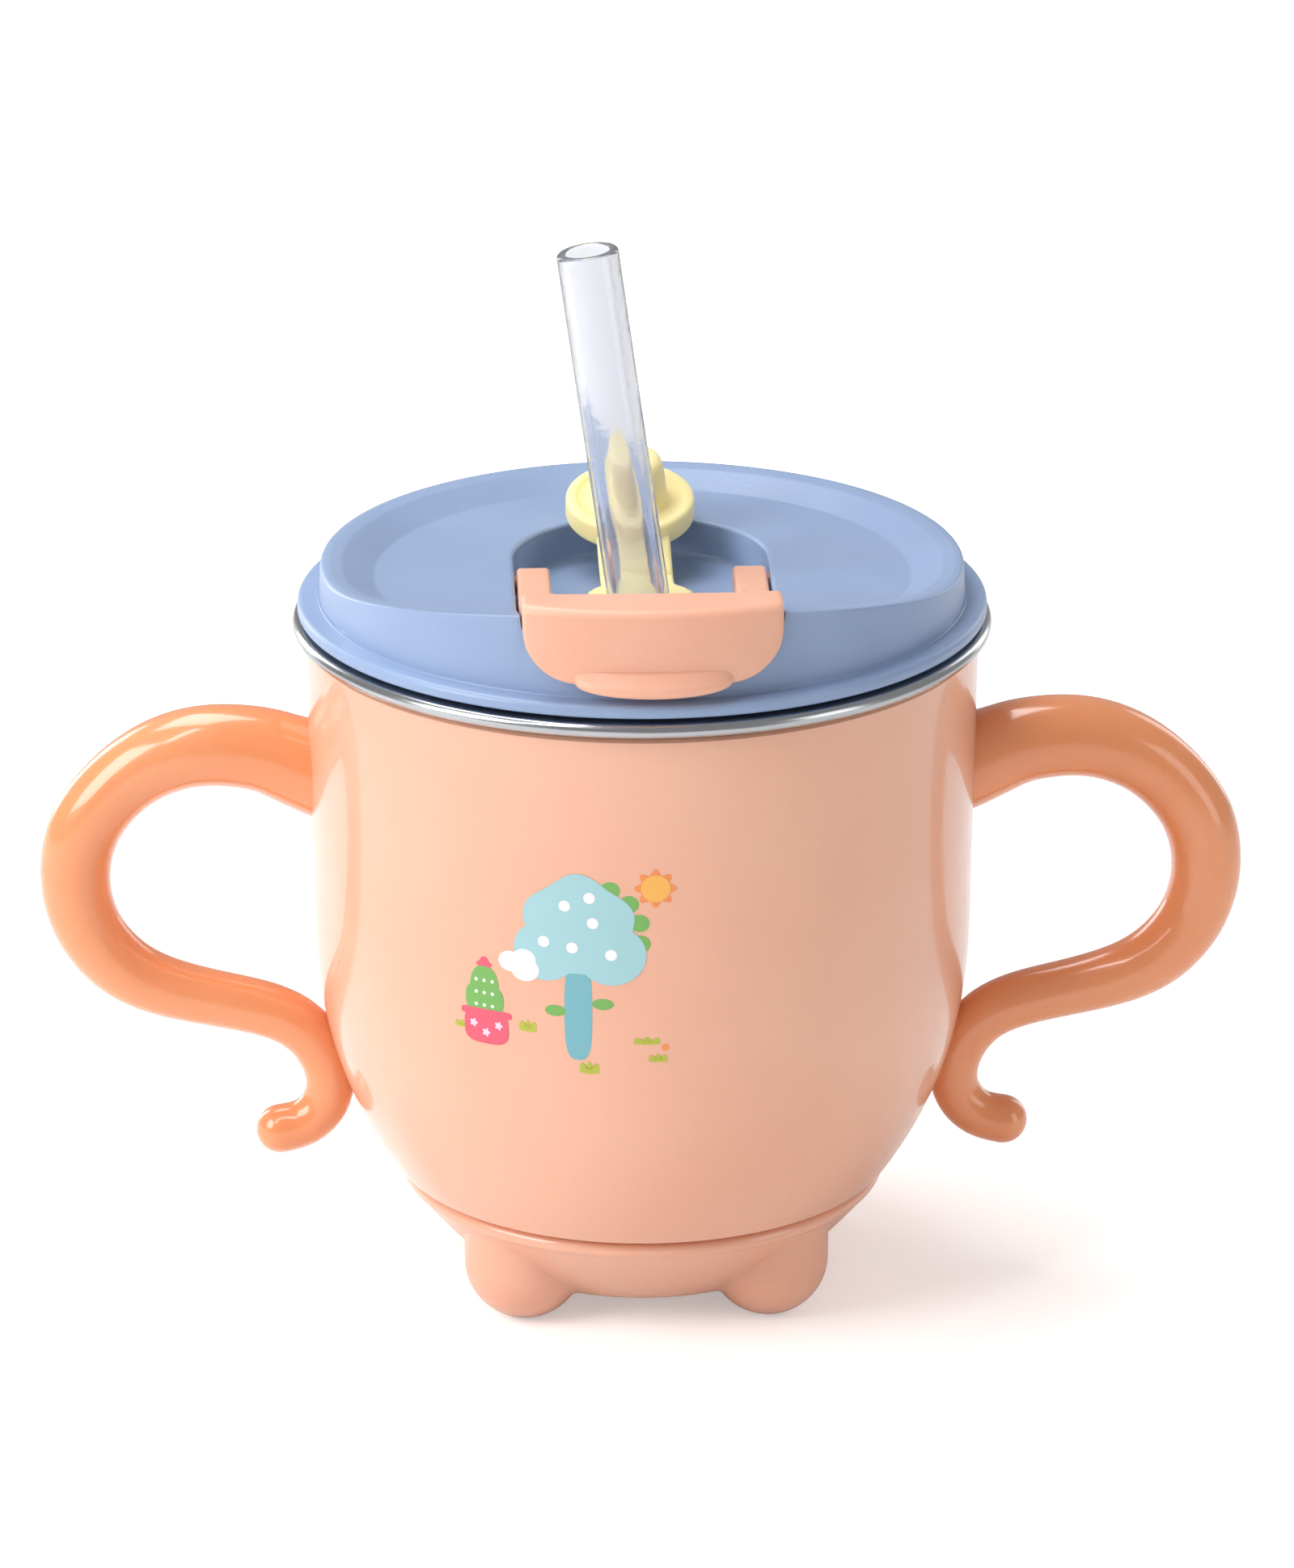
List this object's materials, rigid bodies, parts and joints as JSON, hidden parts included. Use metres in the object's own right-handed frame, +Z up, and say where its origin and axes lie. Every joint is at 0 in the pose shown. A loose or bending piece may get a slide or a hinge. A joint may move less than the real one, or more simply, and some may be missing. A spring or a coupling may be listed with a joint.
{
  "type": "sippy cup",
  "caption": "Toddler's steel-lined drinking cup with side handles, round feet, a press-in lid with a flip clasp, a tethered plug and a straw.",
  "frame": {"origin": "on the surface that the cup stands on, below the centre of the cup's round body", "axes": "+X through the right handle, -Y towards the drinking lip and the clasp, +Z up"},
  "size_m": [0.15, 0.0872, 0.1351],
  "materials": {
    "body_plastic": "glossy",
    "handle_plastic": "glossy",
    "clasp_plastic": "satin",
    "lid_plastic": "satin",
    "steel": "polished",
    "yellow_silicone": "satin",
    "clear_silicone": "smooth, translucent"
  },
  "bodies": {
    "cup": {"outer_shell": "body_plastic", "base_cover": "body_plastic", "steel_liner": "steel", "left_handle": "handle_plastic", "right_handle": "handle_plastic"},
    "lid": {"lid_body": "lid_plastic", "lid_seal_ring": "clear_silicone", "straw_grommet": "yellow_silicone"},
    "clasp": {"clasp_frame": "clasp_plastic", "sip_plug": "clear_silicone"},
    "straw": {"drinking_straw": "clear_silicone"},
    "plug": {"plug_cap": "yellow_silicone"}
  },
  "joints": [
    {"name": "lid_lift", "type": "slide", "parent": "cup", "child": "lid", "axis": [0, 0, 1], "range_m": [0, 0.08]},
    {"name": "clasp_flip", "type": "hinge", "parent": "lid", "child": "clasp", "pos_m": [0, 0.0024, 0.0899], "axis": [-1, 0, 0], "range_deg": [0, 52]},
    {"name": "straw_pull", "type": "slide", "parent": "lid", "child": "straw", "axis": [-0.1392, 0, 0.9903], "range_m": [0, 0.06]},
    {"name": "plug_fold", "type": "hinge", "parent": "lid", "child": "plug", "pos_m": [0, 0.0072, 0.0888], "axis": [1, 0, 0], "range_deg": [0, 55]}
  ]
}
